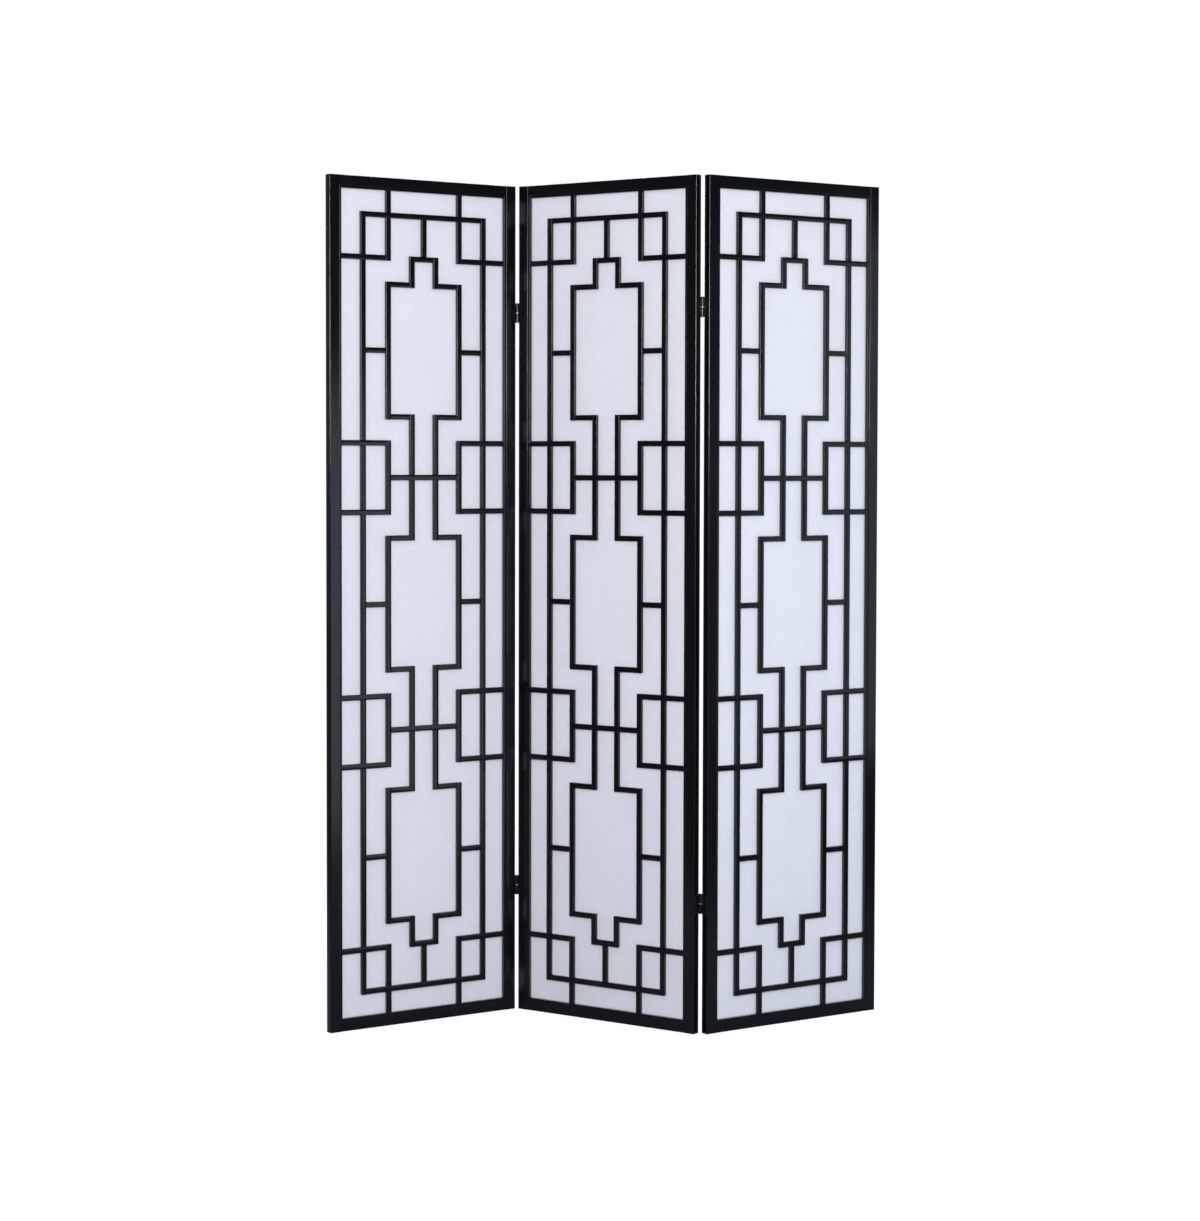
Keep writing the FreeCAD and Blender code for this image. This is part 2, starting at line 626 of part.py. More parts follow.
def build_hinges(panels, axes):
    """Two lift-off hinges at each junction: the left one folds to the front, the right one to the back."""
    flag, pin, washer, screw = make_flag(), make_pin(), make_washer(), make_screw()
    heights = {"top": size("panel_height") - size("hinge_offset"), "bottom": size("hinge_offset")}
    flags = {
        "left": {"upper": ("centre", NO_TURN), "lower": ("left", HALF_TURN_Y)},
        "right": {"upper": ("centre", HALF_TURN_Z), "lower": ("right", HALF_TURN_X)},
    }
    screws = {panel: [] for panel in panels}
    screw_x, screw_y = value_of(LEAF_FACE), value_of(AXIS_DEPTH)
    for junction, axis in axes.items():
        pins, washers = [], []
        for level, height in heights.items():
            middle = axis + UP * height
            pins.append(placed("pin_set", [pin], FreeCAD.Placement(middle, NO_TURN)))
            washers.append(placed("washer_set", [washer], FreeCAD.Placement(middle, NO_TURN)))
            for half, (panel, flip) in flags[junction].items():
                place = FreeCAD.Placement(middle, panels[panel].Rotation.multiply(flip))
                add_node(placed("flag", [flag], place), f"{junction}_{level}_hinge_{half}_flag")
                for side in SIDES:
                    seat = at(screw_x, screw_y, side * size("screw_spacing") / 2, Z_TO_X)
                    screws[panel].append(placed("screw", [screw], place.multiply(seat)))
        add_node(placed("pins", pins), f"{junction}_hinge_pins")
        add_node(placed("washers", washers), f"{junction}_hinge_washers")
    for panel, pieces in screws.items():
        add_node(placed("screws", pieces), f"{panel}_panel_hinge_screws")


def check_document():
    """Stop if any object failed or any sub-part's shape is missing or faulty."""
    doc.recompute()
    failed = [thing.Label for thing in doc.Objects if {"Invalid", "Error"} & set(thing.State)]
    if failed:
        raise RuntimeError(f"these objects failed: {failed}")
    for node in nodes:
        if node.Shape.isNull() or not node.Shape.isValid() or not node.Shape.Solids:
            raise RuntimeError(f"{node.Label} has no sound solid")


def write_parts():
    """One file for each sub-part, under its own name."""
    os.makedirs("parts", exist_ok=True)
    for node in nodes:
        node.Shape.exportStep(os.path.join("parts", f"{node.Label}.step"))
        print(f"{node.Label}: {len(node.Shape.Solids)} solids, {node.Shape.Volume / 1000:.1f} cm3")


panel_list, axis_list = panel_places()
build_panels(panel_list)
build_hinges(panel_list, axis_list)
check_document()
write_parts()
for junction_name, axis_point in axis_list.items():
    print(f"{junction_name} hinge axis at x {axis_point.x:.3f}, y {axis_point.y:.3f}")
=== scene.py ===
"""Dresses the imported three-panel folding screen: lacquer, rice paper, hinges, studio and camera."""

from __future__ import annotations

import logging
import math
from dataclasses import dataclass, field
from enum import Enum
from functools import partial, reduce
from operator import add
from typing import Iterable, Iterator

import bpy
import numpy as np
from mathutils import Matrix, Vector


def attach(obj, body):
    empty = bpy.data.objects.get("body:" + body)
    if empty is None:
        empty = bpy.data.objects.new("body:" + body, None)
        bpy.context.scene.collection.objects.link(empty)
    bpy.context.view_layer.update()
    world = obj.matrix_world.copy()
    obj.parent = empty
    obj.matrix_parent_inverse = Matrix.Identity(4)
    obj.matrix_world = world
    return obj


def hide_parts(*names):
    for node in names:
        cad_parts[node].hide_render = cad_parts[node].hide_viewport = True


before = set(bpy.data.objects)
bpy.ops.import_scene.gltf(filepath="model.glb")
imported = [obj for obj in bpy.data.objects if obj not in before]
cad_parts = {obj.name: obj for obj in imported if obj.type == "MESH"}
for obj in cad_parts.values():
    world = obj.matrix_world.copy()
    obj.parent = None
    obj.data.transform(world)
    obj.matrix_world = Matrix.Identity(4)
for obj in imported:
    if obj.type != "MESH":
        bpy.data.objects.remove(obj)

Colour = tuple[float, float, float]
Point = tuple[float, float, float]
Span = tuple[float, float]
Shares = tuple[float, ...]

LOG = logging.getLogger("folding_screen")
MM_PER_METRE = 1000
NOISE_MIDDLE = 0.5
ORIGIN: Point = (0.0, 0.0, 0.0)
WHITE: Colour = (1.0, 1.0, 1.0)
COOL_LIGHT: Colour = (0.72, 0.86, 1.0)


# Node graphs

# The Mix node's factor, two colours and mixed colour by number, because its sockets share their names.
MIX_FACTOR, MIX_LOW, MIX_HIGH, MIX_COLOUR = 0, 6, 7, 2


@dataclass(frozen=True)
class Noise:
    """A noise pattern: how fine it is, its layers of finer detail and how strong those are."""

    scale: float
    detail: float = 2.0
    roughness: float = 0.5


@dataclass(frozen=True)
class Relief:
    """A fine relief: how strongly its height shows, and how deep it is in metres."""

    strength: float
    depth: float


class Wire:
    """A node's output socket, which adds Math nodes when it is used in an expression."""

    def __init__(self, graph: Graph, socket: bpy.types.NodeSocket) -> None:
        """Keeps the graph and the socket that the expression starts from."""
        self.graph = graph
        self.socket = socket

    def output(self, name: str) -> Wire:
        """Another output of the same node."""
        return Wire(self.graph, self.socket.node.outputs[name])

    def swing(self) -> Wire:
        """A noise value taken from its middle, so that it goes both ways from 0."""
        return self - NOISE_MIDDLE

    def __add__(self, other: Wire | float) -> Wire:
        """Sum of two values."""
        return self.graph.maths("ADD", self, other)

    def __radd__(self, other: float) -> Wire:
        """Sum that starts with a number."""
        return self.graph.maths("ADD", other, self)

    def __sub__(self, other: Wire | float) -> Wire:
        """Difference of two values."""
        return self.graph.maths("SUBTRACT", self, other)

    def __rsub__(self, other: float) -> Wire:
        """Difference that starts with a number."""
        return self.graph.maths("SUBTRACT", other, self)

    def __mul__(self, other: Wire | float) -> Wire:
        """Product of two values."""
        return self.graph.maths("MULTIPLY", self, other)

    def __rmul__(self, other: float) -> Wire:
        """Product that starts with a number."""
        return self.graph.maths("MULTIPLY", other, self)


class Graph:
    """Adds nodes to one node tree, of a material, the world or a Geometry Nodes group."""

    def __init__(self, tree: bpy.types.NodeTree) -> None:
        """Keeps the tree that the nodes go into."""
        self.tree = tree

    def node(
        self,
        kind: str,
        settings: dict[str, object] | None = None,
        sockets: dict[str | int, object] | None = None,
        output: str | int = 0,
    ) -> Wire | None:
        """Adds one node, with its settings first and then its sockets.

        Args:
            kind: Blender's name of the node's type.
            settings: properties of the node, such as a Math node's operation.
            sockets: a value or a wire for each input, by name or number.
            output: the output that the wire starts from.

        Returns:
            The wire from that output, or None for a node with no outputs.
        """
        made = self.tree.nodes.new(kind)
        for name, value in (settings or {}).items():
            setattr(made, name, value)
        for name, value in (sockets or {}).items():
            if isinstance(value, Wire):
                self.tree.links.new(value.socket, made.inputs[name])
            else:
                made.inputs[name].default_value = value
        return Wire(self, made.outputs[output]) if len(made.outputs) else None

    def maths(self, operation: str, first: Wire | float, second: Wire | float) -> Wire:
        """One Math node on two values."""
        return self.node("ShaderNodeMath", {"operation": operation}, {0: first, 1: second})

    def vectors(self, operation: str, first: Wire | Point, second: Wire | Point) -> Wire:
        """One Vector Math node on two vectors."""
        return self.node("ShaderNodeVectorMath", {"operation": operation}, {0: first, 1: second})

    @staticmethod
    def weighted(shares: Shares, values: Iterable[Wire]) -> Wire:
        """Sum of values, each times its share."""
        return reduce(add, (share * value for share, value in zip(shares, values)))

    def mix(self, factor: Wire, low: Wire | Colour, high: Wire | Colour) -> Wire:
        """Goes from one colour to another.

        Args:
            factor: how far to go, from 0 to 1.
            low: the colour at 0.
            high: the colour at 1.

        Returns:
            The mixed colour.
        """
        ends = [end if isinstance(end, Wire) else (*end, 1.0) for end in (low, high)]
        settings = {"data_type": "RGBA", "clamp_factor": True}
        sockets = {MIX_FACTOR: factor, MIX_LOW: ends[0], MIX_HIGH: ends[1]}
        return self.node("ShaderNodeMix", settings, sockets, MIX_COLOUR)

    def noise(self, vector: Wire, kind: Noise) -> Wire:
        """Noise value from about 0 to 1."""
        shape = {"Scale": kind.scale, "Detail": kind.detail, "Roughness": kind.roughness}
        return self.node("ShaderNodeTexNoise", None, {"Vector": vector, **shape})

    def step(self, value: Wire, span: Span) -> Wire:
        """Smooth step from 0 at the span's low end to 1 at its high end."""
        sockets = {"Value": value, "From Min": span[0], "From Max": span[1]}
        return self.node("ShaderNodeMapRange", {"interpolation_type": "SMOOTHSTEP"}, sockets)

    def coordinates(self, kind: str = "Object") -> Wire:
        """Texture coordinates of one kind; the plain ones are the shared frame's own."""
        return self.node("ShaderNodeTexCoord", None, None, kind)

    def stretched(self, vector: Wire, stretch: Point, place: Point = ORIGIN, turn: Point = ORIGIN) -> Wire:
        """Moves and turns a pattern onto a piece and stretches it there.

        Args:
            vector: the coordinates to start from.
            stretch: how much longer the pattern gets along each of the piece's axes.
            place: the piece's own zero point.
            turn: the piece's turn about each axis, in radians.

        Returns:
            The piece's own stretched coordinates.
        """
        sockets = {"Vector": vector, "Location": place, "Rotation": turn, "Scale": stretch}
        return self.node("ShaderNodeMapping", {"vector_type": "TEXTURE"}, sockets)

    def principled(self, sockets: dict[str, object]) -> Wire:
        """Principled shader with its sockets set or linked."""
        return self.node("ShaderNodeBsdfPrincipled", None, sockets)

    def bump(self, height: Wire, relief: Relief) -> Wire:
        """Normal from a height; the relief's numbers are set on the node itself."""
        sockets = {"Height": height, "Strength": relief.strength, "Distance": relief.depth}
        return self.node("ShaderNodeBump", None, sockets)

    def seen_white(self, lit: float, mirrored: Wire) -> Wire:
        """Strength of white surroundings: 1 to the camera and through glass, and less to other rays.

        Args:
            lit: the strength for the rays that light the object.
            mirrored: the strength for glossy rays.

        Returns:
            The strength for each kind of ray.
        """
        path = self.node("ShaderNodeLightPath", None, None, "Is Camera Ray")
        direct = self.maths("MAXIMUM", path, path.output("Is Transmission Ray"))
        return lit + direct * (1.0 - lit) + path.output("Is Glossy Ray") * (mirrored - lit)


def new_material(name: str) -> tuple[bpy.types.Material, Graph]:
    """Starts an empty node material.

    Args:
        name: the material's name.

    Returns:
        The material, and the graph to fill it with.
    """
    material = bpy.data.materials.new(name)
    material.use_nodes = True
    material.node_tree.nodes.clear()
    return material, Graph(material.node_tree)


def close_material(material: bpy.types.Material, surface: Wire) -> bpy.types.Material:
    """Links the finished shader to the material's output, and gives the material back."""
    surface.graph.node("ShaderNodeOutputMaterial", None, {"Surface": surface})
    return material


# Finishes


class Grain(Enum):
    """Which way the wood runs in a piece, and where its coordinates come from."""

    UPRIGHT = "upright"
    LEVEL = "level"
    STRIP = "strip"


@dataclass(frozen=True)
class Lacquer:
    """Black satin lacquer over close-grained wood, with the pores still showing faintly."""

    deep: Colour = (0.0012, 0.0020, 0.0032)
    worn: Colour = (0.0032, 0.0048, 0.0070)
    pores: Noise = Noise(700.0, 3.0, 0.6)
    figure: Noise = Noise(60.0, 4.0, 0.55)
    cloud: Noise = Noise(5.0, 3.0)
    dust: Noise = Noise(1900.0, 1.0)
    dust_span: Span = (0.70, 0.78)
    grain_stretch: float = 22.0
    tone_shares: Shares = (0.55, 0.30, 0.15)
    tone_span: Span = (0.36, 0.66)
    colour_shares: Shares = (0.75, 0.25)
    roughness: float = 0.16
    cloud_roughness: float = 0.10
    pore_roughness: float = 0.10
    dust_roughness: float = 0.10
    specular: float = 0.5
    height_shares: Shares = (0.6, 0.4)
    relief: Relief = Relief(0.12, 0.00022)

    def material(self, name: str, grain: Grain, panel: Panel | None = None) -> bpy.types.Material:
        """Lacquer with its grain along the piece.

        Args:
            name: the material's name.
            grain: which way the wood runs.
            panel: the panel whose place and turn the pattern takes, for a frame piece.

        Returns:
            The finished material.
        """
        material, graph = new_material(name)
        along = self._along(graph, grain, panel)
        pores = graph.noise(along, self.pores)
        figure = graph.noise(along, self.figure)
        ground = graph.coordinates()
        cloud = graph.noise(ground, self.cloud)
        dust = graph.step(graph.noise(ground, self.dust), self.dust_span)
        tone = graph.step(graph.weighted(self.tone_shares, (figure, pores, cloud)), self.tone_span)
        roughness = self.roughness + self.cloud_roughness * cloud.swing()
        roughness += self.pore_roughness * pores.swing()
        roughness += self.dust_roughness * dust
        height = graph.weighted(self.height_shares, (pores, figure))
        sockets = {
            "Base Color": graph.mix(graph.weighted(self.colour_shares, (tone, dust)), self.deep, self.worn),
            "Roughness": roughness,
            "Specular IOR Level": self.specular,
            "Normal": graph.bump(height, self.relief),
        }
        return close_material(material, graph.principled(sockets))

    def _along(self, graph: Graph, grain: Grain, panel: Panel | None) -> Wire:
        """Coordinates stretched along the grain.

        Args:
            graph: the material's graph.
            grain: which way the wood runs.
            panel: the panel that the piece belongs to, for a frame piece.

        Returns:
            The stretched coordinates.
        """
        upright, level = (1.0, 1.0, self.grain_stretch), (self.grain_stretch, 1.0, 1.0)
        if grain is Grain.STRIP:
            own = graph.node("ShaderNodeAttribute", {"attribute_name": "grain"}, None, "Vector")
            return graph.stretched(own, upright)
        stretch = upright if grain is Grain.UPRIGHT else level
        return graph.stretched(graph.coordinates(), stretch, panel.origin, panel.spin())


@dataclass(frozen=True)
class RicePaper:
    """White paper with a cool cast, soft clouds and scattered long fibres."""

    pale: Colour = (0.800, 0.815, 0.900)
    shade: Colour = (0.735, 0.755, 0.850)
    fibre: Colour = (0.860, 0.874, 0.950)
    # Scales the paper's colours: painted light that makes one panel's paper brighter.
    brightness: float = 1.0
    cloud: Noise = Noise(11.0, 4.0, 0.6)
    mottle: Noise = Noise(190.0, 2.0, 0.6)
    pulp: Noise = Noise(900.0, 3.0, 0.65)
    tone_shares: Shares = (0.30, 0.45, 0.25)
    tone_span: Span = (0.34, 0.66)
    strand: Noise = Noise(420.0, 1.0)
    strand_span: Span = (0.66, 0.74)
    strand_stretch: float = 26.0
    strand_turns: tuple[float, ...] = (0.5, -0.7, 1.45)
    fibre_share: float = 0.55
    roughness: float = 0.82
    pulp_roughness: float = 0.10
    fibre_smoothness: float = 0.08
    specular: float = 0.25
    sheen: float = 0.08
    height_shares: Shares = (0.6, 0.8)
    relief: Relief = Relief(0.25, 0.00012)

    def material(self, name: str) -> bpy.types.Material:
        """Paper whose pattern follows the sheet's own flat map.

        Args:
            name: the material's name.

        Returns:
            The finished material.
        """
        material, graph = new_material(name)
        flat = graph.coordinates("UV")
        cloud, mottle, pulp = (graph.noise(flat, kind) for kind in (self.cloud, self.mottle, self.pulp))
        strands = [self._strands(graph, flat, turn) for turn in self.strand_turns]
        fibres = reduce(partial(graph.maths, "MAXIMUM"), strands)
        # The paper's colours, scaled by the painted light.
        pale, shade, fibre = (
            tuple(self.brightness * channel for channel in colour)
            for colour in (self.pale, self.shade, self.fibre)
        )
        tone = graph.step(graph.weighted(self.tone_shares, (cloud, mottle, pulp)), self.tone_span)
        roughness = self.roughness + self.pulp_roughness * pulp.swing() - self.fibre_smoothness * fibres
        height = graph.weighted(self.height_shares, (pulp, fibres))
        sockets = {
            "Base Color": graph.mix(self.fibre_share * fibres, graph.mix(tone, shade, pale), fibre),
            "Roughness": roughness,
            "Specular IOR Level": self.specular,
            "Sheen Weight": self.sheen,
            "Normal": graph.bump(height, self.relief),
        }
        return close_material(material, graph.principled(sockets))

    def _strands(self, graph: Graph, flat: Wire, turn: float) -> Wire:
        """Thin fibres that lie in one direction, each direction with a pattern of its own.

        Args:
            graph: the material's graph.
            flat: the sheet's own coordinates.
            turn: the direction, in radians from the sheet's width.

        Returns:
            A mask of the fibres.
        """
        stretch, place = (self.strand_stretch, 1.0, 1.0), (turn, 0.0, 0.0)
        along = graph.stretched(flat, stretch, place, (0.0, 0.0, turn))
        return graph.step(graph.noise(along, self.strand), self.strand_span)


@dataclass(frozen=True)
class PaintedMetal:
    """Black baked paint on the hinge flags and screws, with a fine orange peel and small rubs."""

    paint: Colour = (0.0065, 0.0072, 0.0080)
    rub: Colour = (0.050, 0.050, 0.052)
    peel: Noise = Noise(1500.0, 2.0)
    cloud: Noise = Noise(130.0, 4.0, 0.65)
    rub_span: Span = (0.62, 0.74)
    rub_share: float = 0.6
    rub_metal: float = 0.25
    roughness: float = 0.25
    cloud_roughness: float = 0.16
    peel_roughness: float = 0.08
    specular: float = 0.5
    relief: Relief = Relief(0.1, 0.0001)

    def material(self, name: str) -> bpy.types.Material:
        """Paint in the frame's own coordinates.

        Args:
            name: the material's name.

        Returns:
            The finished material.
        """
        material, graph = new_material(name)
        ground = graph.coordinates()
        peel = graph.noise(ground, self.peel)
        cloud = graph.noise(ground, self.cloud)
        rubs = graph.step(cloud, self.rub_span)
        roughness = self.roughness + self.cloud_roughness * cloud.swing()
        roughness += self.peel_roughness * peel.swing()
        sockets = {
            "Base Color": graph.mix(self.rub_share * rubs, self.paint, self.rub),
            "Metallic": self.rub_metal * rubs,
            "Roughness": roughness,
            "Specular IOR Level": self.specular,
            "Normal": graph.bump(peel, self.relief),
        }
        return close_material(material, graph.principled(sockets))


@dataclass(frozen=True)
class BrightSteel:
    """Turned and tumbled steel of the pins and washers."""

    bright: Colour = (0.92, 0.93, 0.94)
    dull: Colour = (0.76, 0.77, 0.79)
    lines: Noise = Noise(5200.0, 2.0)
    line_stretch: Point = (12.0, 12.0, 1.0)
    cloud: Noise = Noise(240.0, 3.0, 0.6)
    dull_span: Span = (0.35, 0.70)
    roughness: float = 0.46
    line_roughness: float = 0.20
    cloud_roughness: float = 0.16
    relief: Relief = Relief(0.05, 0.00006)

    def material(self, name: str) -> bpy.types.Material:
        """Steel with fine turning lines round the upright axis.

        Args:
            name: the material's name.

        Returns:
            The finished material.
        """
        material, graph = new_material(name)
        ground = graph.coordinates()
        lines = graph.noise(graph.stretched(ground, self.line_stretch), self.lines)
        cloud = graph.noise(ground, self.cloud)
        roughness = self.roughness + self.line_roughness * lines.swing()
        roughness += self.cloud_roughness * cloud.swing()
        sockets = {
            "Base Color": graph.mix(graph.step(cloud, self.dull_span), self.bright, self.dull),
            "Metallic": 1.0,
            "Roughness": roughness,
            "Normal": graph.bump(lines, self.relief),
        }
        return close_material(material, graph.principled(sockets))


@dataclass(frozen=True)
class BareWood:
    """Pale unfinished hardwood of the dowels inside the frame joints."""

    early: Colour = (0.52, 0.36, 0.20)
    late: Colour = (0.36, 0.22, 0.11)
    rings: Noise = Noise(420.0, 3.0, 0.6)
    pores: Noise = Noise(2200.0, 2.0)
    grain_stretch: float = 18.0
    ring_span: Span = (0.35, 0.65)
    roughness: float = 0.62
    pore_roughness: float = 0.20
    height_shares: Shares = (0.5, 0.5)
    relief: Relief = Relief(0.3, 0.0002)

    def material(self, name: str, panel: Panel) -> bpy.types.Material:
        """Wood with its grain along the panel's width.

        Args:
            name: the material's name.
            panel: the panel whose place and turn the pattern takes.

        Returns:
            The finished material.
        """
        material, graph = new_material(name)
        stretch = (self.grain_stretch, 1.0, 1.0)
        along = graph.stretched(graph.coordinates(), stretch, panel.origin, panel.spin())
        rings = graph.noise(along, self.rings)
        pores = graph.noise(along, self.pores)
        height = graph.weighted(self.height_shares, (rings, pores))
        sockets = {
            "Base Color": graph.mix(graph.step(rings, self.ring_span), self.early, self.late),
            "Roughness": self.roughness + self.pore_roughness * pores.swing(),
            "Normal": graph.bump(height, self.relief),
        }
        return close_material(material, graph.principled(sockets))


# Panels


class Face(Enum):
    """The two faces of a panel; the value is the face's turn from the front."""

    FRONT = 0.0
    REAR = math.pi

    @property
    def label(self) -> str:
        """The face's name in node and piece names."""
        return self.name.lower()


@dataclass(frozen=True)
class Panel:
    """One panel of the screen: where it stands, how it is turned, and a painted light that makes its paper
    brighter than the others'.
    """

    side: str
    across: float
    turn: float
    # Scales the paper's colours as painted light, for a panel that stands in more light than the others.
    paper_painted_light: float = 1.0

    @property
    def body(self) -> str:
        """The CAD body that the panel's pieces ride on."""
        return f"{self.side}_panel"

    @property
    def origin(self) -> Point:
        """Where the panel's own zero point stands."""
        return (self.across, 0.0, 0.0)

    def spin(self, face: Face = Face.FRONT) -> Point:
        """The turn of one of the panel's faces about each axis."""
        return (0.0, 0.0, self.turn + face.value)

    def node(self, piece: str) -> bpy.types.Object:
        """The CAD node of one of the panel's pieces."""
        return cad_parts[f"{self.body}_{piece}"]

    def place(self) -> Matrix:
        """Moves the panel's own coordinates to where it stands."""
        return Matrix.Translation(self.origin) @ Matrix.Rotation(self.turn, 4, "Z")


# Half the fold between two panels, and the way from the centre panel's middle to a side panel's.
PANEL_TURN = math.radians(33)
PANEL_STEP = 0.39165
PANELS = (
    Panel("left", -PANEL_STEP, PANEL_TURN),
    Panel("centre", 0.0, -PANEL_TURN),
    # Painted light: the right panel's paper colours are raised 3%, as if more light fell on it.
    Panel("right", PANEL_STEP, PANEL_TURN, paper_painted_light=1.03),
)


def dress(node: bpy.types.Object, material: bpy.types.Material) -> None:
    """Gives a CAD node a finish and leaves its shape alone.

    Args:
        node: the CAD node's object.
        material: the finish.
    """
    if not node.material_slots:
        node.data.materials.append(material)
    for slot in node.material_slots:
        slot.material = material
    LOG.info("dressed %s in %s", node.name, material.name)


# Fretwork


class Run(Enum):
    """Which way a strip runs; the value is its turn from upright about the panel's depth."""

    UPRIGHT = 0.0
    LEVEL = math.pi / 2


class Group(Enum):
    """The sets of strips that make one piece each on a face; the value ends the CAD node's name."""

    BORDER = "border_lattice"
    MEDALLION = "medallion_lattice"
    BRACKET = "bracket_lattice"
    BEADS = "beads"

    @property
    def label(self) -> str:
        """The set's name in piece names."""
        return "bead_strips" if self is Group.BEADS else self.value.replace("lattice", "strips")


@dataclass(frozen=True)
class Strip:
    """A straight strip: its centre line, where it starts and ends, and what crosses it."""

    run: Run
    line: float
    start: float
    end: float
    crossings: tuple[float, ...] = ()

    def lengths(self, half_bar: float) -> Iterator[tuple[float, float]]:
        """The strip's lengths between the strips that pass over it.

        Args:
            half_bar: half the width of a crossing strip.

        Returns:
            Pairs of start and end.
        """
        low, high = sorted((self.start, self.end))
        for crossing in sorted(self.crossings):
            yield low, crossing - half_bar
            low = crossing + half_bar
        yield low, high


def both(value: float) -> tuple[float, float]:
    """A value and its mirror image."""
    return (value, -value)


@dataclass
class StripTree:
    """Geometry Nodes group that puts a round-edged strip on each point of a mesh."""

    corner_steps: int = 3
    grain_shift: Point = (0.5, 0.5, 3.0)
    tree: bpy.types.NodeTree = field(init=False)
    inputs: dict[str, str] = field(init=False, default_factory=dict)

    def __post_init__(self) -> None:
        """Makes the group's sockets and nodes."""
        self.tree = bpy.data.node_groups.new("fretwork_strips", "GeometryNodeTree")
        face = self.tree.interface
        kinds = {
            "Points": "NodeSocketGeometry",
            "Strip width": "NodeSocketFloat",
            "Strip depth": "NodeSocketFloat",
            "Edge round": "NodeSocketFloat",
            "Panel place": "NodeSocketVector",
            "Panel turn": "NodeSocketVector",
            "Seed": "NodeSocketInt",
            "Finish": "NodeSocketMaterial",
        }
        for name, kind in kinds.items():
            self.inputs[name] = face.new_socket(name, in_out="INPUT", socket_type=kind).identifier
        face.new_socket("Strips", in_out="OUTPUT", socket_type="NodeSocketGeometry")
        self._fill(Graph(self.tree))

    def _fill(self, graph: Graph) -> None:
        """Adds the nodes: strips on points, their grain, the panel's place and the finish.

        Args:
            graph: the group's graph.
        """
        given = graph.node("NodeGroupInput", None, None, "Points")
        span, lean = (self._named(graph, name, "FLOAT") for name in ("span", "lean"))
        length = graph.node("ShaderNodeCombineXYZ", None, {"X": 1.0, "Y": 1.0, "Z": span})
        strips = graph.node(
            "GeometryNodeInstanceOnPoints",
            None,
            {
                "Points": given,
                "Instance": self._bar(graph, given),
                "Rotation": graph.node("ShaderNodeCombineXYZ", None, {"Y": lean}),
                "Scale": length,
            },
        )
        most = self.grain_shift
        least = tuple(-reach for reach in most)
        limits = {"Min": least, "Max": most, "Seed": given.output("Seed")}
        chance = graph.node("FunctionNodeRandomValue", {"data_type": "FLOAT_VECTOR"}, limits)
        strips = self._stored(graph, strips, "shift", chance, "INSTANCE")
        solid = graph.node("GeometryNodeRealizeInstances", None, {"Geometry": strips})
        unit_place, shift = (self._named(graph, name, "FLOAT_VECTOR") for name in ("unit_place", "shift"))
        grain = graph.vectors("ADD", graph.vectors("MULTIPLY", unit_place, length), shift)
        solid = self._stored(graph, solid, "grain", grain, "POINT")
        for name in ("unit_place", "shift", "span", "lean"):
            solid = graph.node("GeometryNodeRemoveAttribute", None, {"Geometry": solid, "Name": name})
        stand = {"Translation": given.output("Panel place"), "Rotation": given.output("Panel turn")}
        placed = graph.node("GeometryNodeTransform", None, {"Geometry": solid, **stand})
        dressing = {"Geometry": placed, "Material": given.output("Finish")}
        finished = graph.node("GeometryNodeSetMaterial", None, dressing)
        graph.node("NodeGroupOutput", None, {"Strips": finished})

    def _bar(self, graph: Graph, given: Wire) -> Wire:
        """A round-edged bar one metre long, with each point's place on it stored.

        Args:
            graph: the group's graph.
            given: the group's inputs.

        Returns:
            The bar, upright about the zero point.
        """
        sides = {"Width": given.output("Strip width"), "Height": given.output("Strip depth")}
        section = graph.node("GeometryNodeCurvePrimitiveQuadrilateral", {"mode": "RECTANGLE"}, sides)
        corner = {"Count": self.corner_steps, "Radius": given.output("Edge round")}
        rounded = graph.node("GeometryNodeFilletCurve", {"mode": "POLY"}, {"Curve": section, **corner})
        ends = {"Start": (0.0, 0.0, -0.5), "End": (0.0, 0.0, 0.5)}
        line = graph.node("GeometryNodeCurvePrimitiveLine", {"mode": "POINTS"}, ends)
        sweep = {"Curve": line, "Profile Curve": rounded, "Fill Caps": True}
        bar = graph.node("GeometryNodeCurveToMesh", None, sweep)
        return self._stored(graph, bar, "unit_place", graph.node("GeometryNodeInputPosition"), "POINT")

    @staticmethod
    def _named(graph: Graph, name: str, kind: str) -> Wire:
        """A value that was stored under a name."""
        return graph.node("GeometryNodeInputNamedAttribute", {"data_type": kind}, {"Name": name})

    @staticmethod
    def _stored(graph: Graph, geometry: Wire, name: str, value: Wire, domain: str) -> Wire:
        """Stores a vector under a name on a geometry.

        Args:
            graph: the group's graph.
            geometry: what carries the vector.
            name: the attribute's name.
            value: the vector.
            domain: where it is kept.

        Returns:
            The geometry with the attribute.
        """
        settings = {"data_type": "FLOAT_VECTOR", "domain": domain}
        sockets = {"Geometry": geometry, "Name": name, "Value": value}
        return graph.node("GeometryNodeStoreNamedAttribute", settings, sockets)

    def plain_mesh(self, name: str, points: bpy.types.Mesh, values: dict[str, object]) -> bpy.types.Object:
        """Runs the group on a mesh of points and keeps the result as a plain mesh.

        Args:
            name: the new piece's name.
            points: one vertex for each strip, with its span and lean.
            values: the group's inputs by name.

        Returns:
            The piece, with no modifier left.
        """
        piece = bpy.data.objects.new(name, points)
        bpy.context.scene.collection.objects.link(piece)
        modifier = piece.modifiers.new("strips", "NODES")
        modifier.node_group = self.tree
        for key, value in values.items():
            modifier[self.inputs[key]] = value
        bpy.context.view_layer.update()
        graph = bpy.context.evaluated_depsgraph_get()
        mesh = bpy.data.meshes.new_from_object(
            piece.evaluated_get(graph), preserve_all_data_layers=True, depsgraph=graph
        )
        piece.modifiers.remove(modifier)
        piece.data = mesh
        mesh.name = name
        bpy.data.meshes.remove(points)
        return piece


